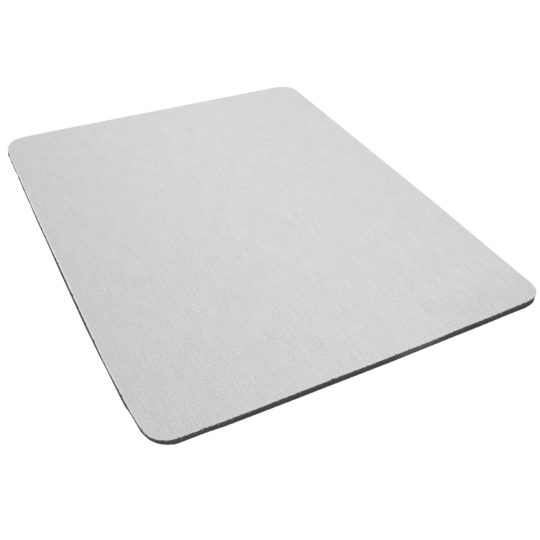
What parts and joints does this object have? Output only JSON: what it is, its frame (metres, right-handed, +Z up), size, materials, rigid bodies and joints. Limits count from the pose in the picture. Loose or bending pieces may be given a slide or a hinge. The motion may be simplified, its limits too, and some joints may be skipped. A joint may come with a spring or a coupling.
{
  "type": "mouse pad",
  "caption": "Rectangular mouse pad with rounded corners: a light grey knitted cloth face bonded to a dark foam rubber base with a non-slip underside.",
  "frame": {"origin": "centre of the underside, on the desk", "axes": "+Z up out of the cloth face, X along the short side, Y along the long side"},
  "size_m": [0.2, 0.25, 0.004],
  "materials": {
    "foam_rubber": "matt charcoal foam rubber, cut cells on the edge, moulded non-slip pattern underneath",
    "adhesive": "thin line of hot-melt film, slightly satin",
    "grey_cloth": "matt light grey fine knit, faint ribs along the long side"
  },
  "bodies": {
    "root": {"foam_base": "foam_rubber", "bond_film": "adhesive", "surface_cloth": "grey_cloth"}
  },
  "joints": []
}
